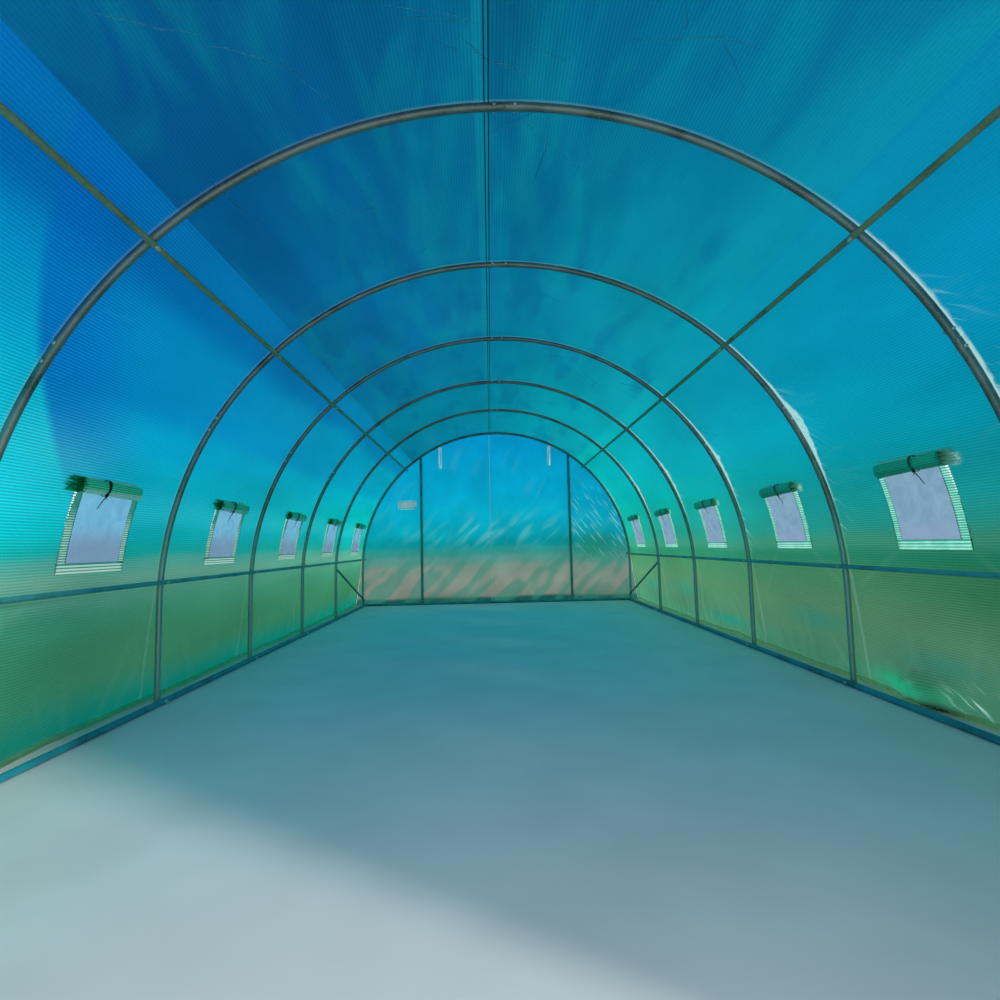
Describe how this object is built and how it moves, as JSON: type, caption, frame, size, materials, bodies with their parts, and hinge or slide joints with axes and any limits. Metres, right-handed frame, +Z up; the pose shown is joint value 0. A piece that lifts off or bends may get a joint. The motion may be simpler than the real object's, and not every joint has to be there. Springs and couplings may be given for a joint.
{
  "type": "polytunnel greenhouse",
  "caption": "Walk-in garden polytunnel: half-round steel hoops and rails under a seamed translucent sheet cover, with net windows, a closed rear door and a rolled-up front door.",
  "frame": {"origin": "on the ground, at the middle of the tunnel", "axes": "+X across the tunnel to the right seen from the open front, +Y along the tunnel towards the closed rear wall, +Z up"},
  "size_m": [3.1636, 6.0296, 1.9348],
  "materials": {
    "galvanised_tube": "dull zinc",
    "purlin_tube": "dull zinc, darker",
    "base_tube": "satin teal",
    "post_tube": "satin dark green",
    "cover": "ribbed translucent sheet",
    "wall": "glossy translucent sheet",
    "net": "fine net",
    "seam_tape": "woven tape",
    "flap": "rolled sheet",
    "tie": "narrow tape",
    "strap": "white webbing"
  },
  "bodies": {
    "root": {"hoop_1": "galvanised_tube", "hoop_2": "galvanised_tube", "hoop_3": "galvanised_tube", "hoop_4": "galvanised_tube", "hoop_5": "galvanised_tube", "hoop_6": "galvanised_tube", "hoop_7": "galvanised_tube", "left_base_rail": "base_tube", "left_waist_rail": "purlin_tube", "left_shoulder_purlin": "purlin_tube", "left_side_cover": "cover", "left_roof_cover": "cover", "left_window_meshes": "net", "left_window_frames": "seam_tape", "left_window_rolls": "flap", "left_window_ties": "tie", "right_base_rail": "base_tube", "right_waist_rail": "purlin_tube", "right_shoulder_purlin": "purlin_tube", "right_side_cover": "cover", "right_roof_cover": "cover", "right_window_meshes": "net", "right_window_frames": "seam_tape", "right_window_rolls": "flap", "right_window_ties": "tie", "front_base_rail": "base_tube", "front_wall_left": "wall", "front_wall_right": "wall", "front_left_door_post": "post_tube", "front_left_brace": "purlin_tube", "front_right_door_post": "post_tube", "front_right_brace": "purlin_tube", "rear_base_rail": "base_tube", "rear_wall_left": "wall", "rear_wall_right": "wall", "rear_left_door_post": "post_tube", "rear_left_brace": "purlin_tube", "rear_right_door_post": "post_tube", "rear_right_brace": "purlin_tube", "rear_door": "wall", "rear_door_straps": "strap", "front_door_header": "wall", "front_door_roll": "wall", "front_door_straps": "strap"}
  },
  "joints": []
}
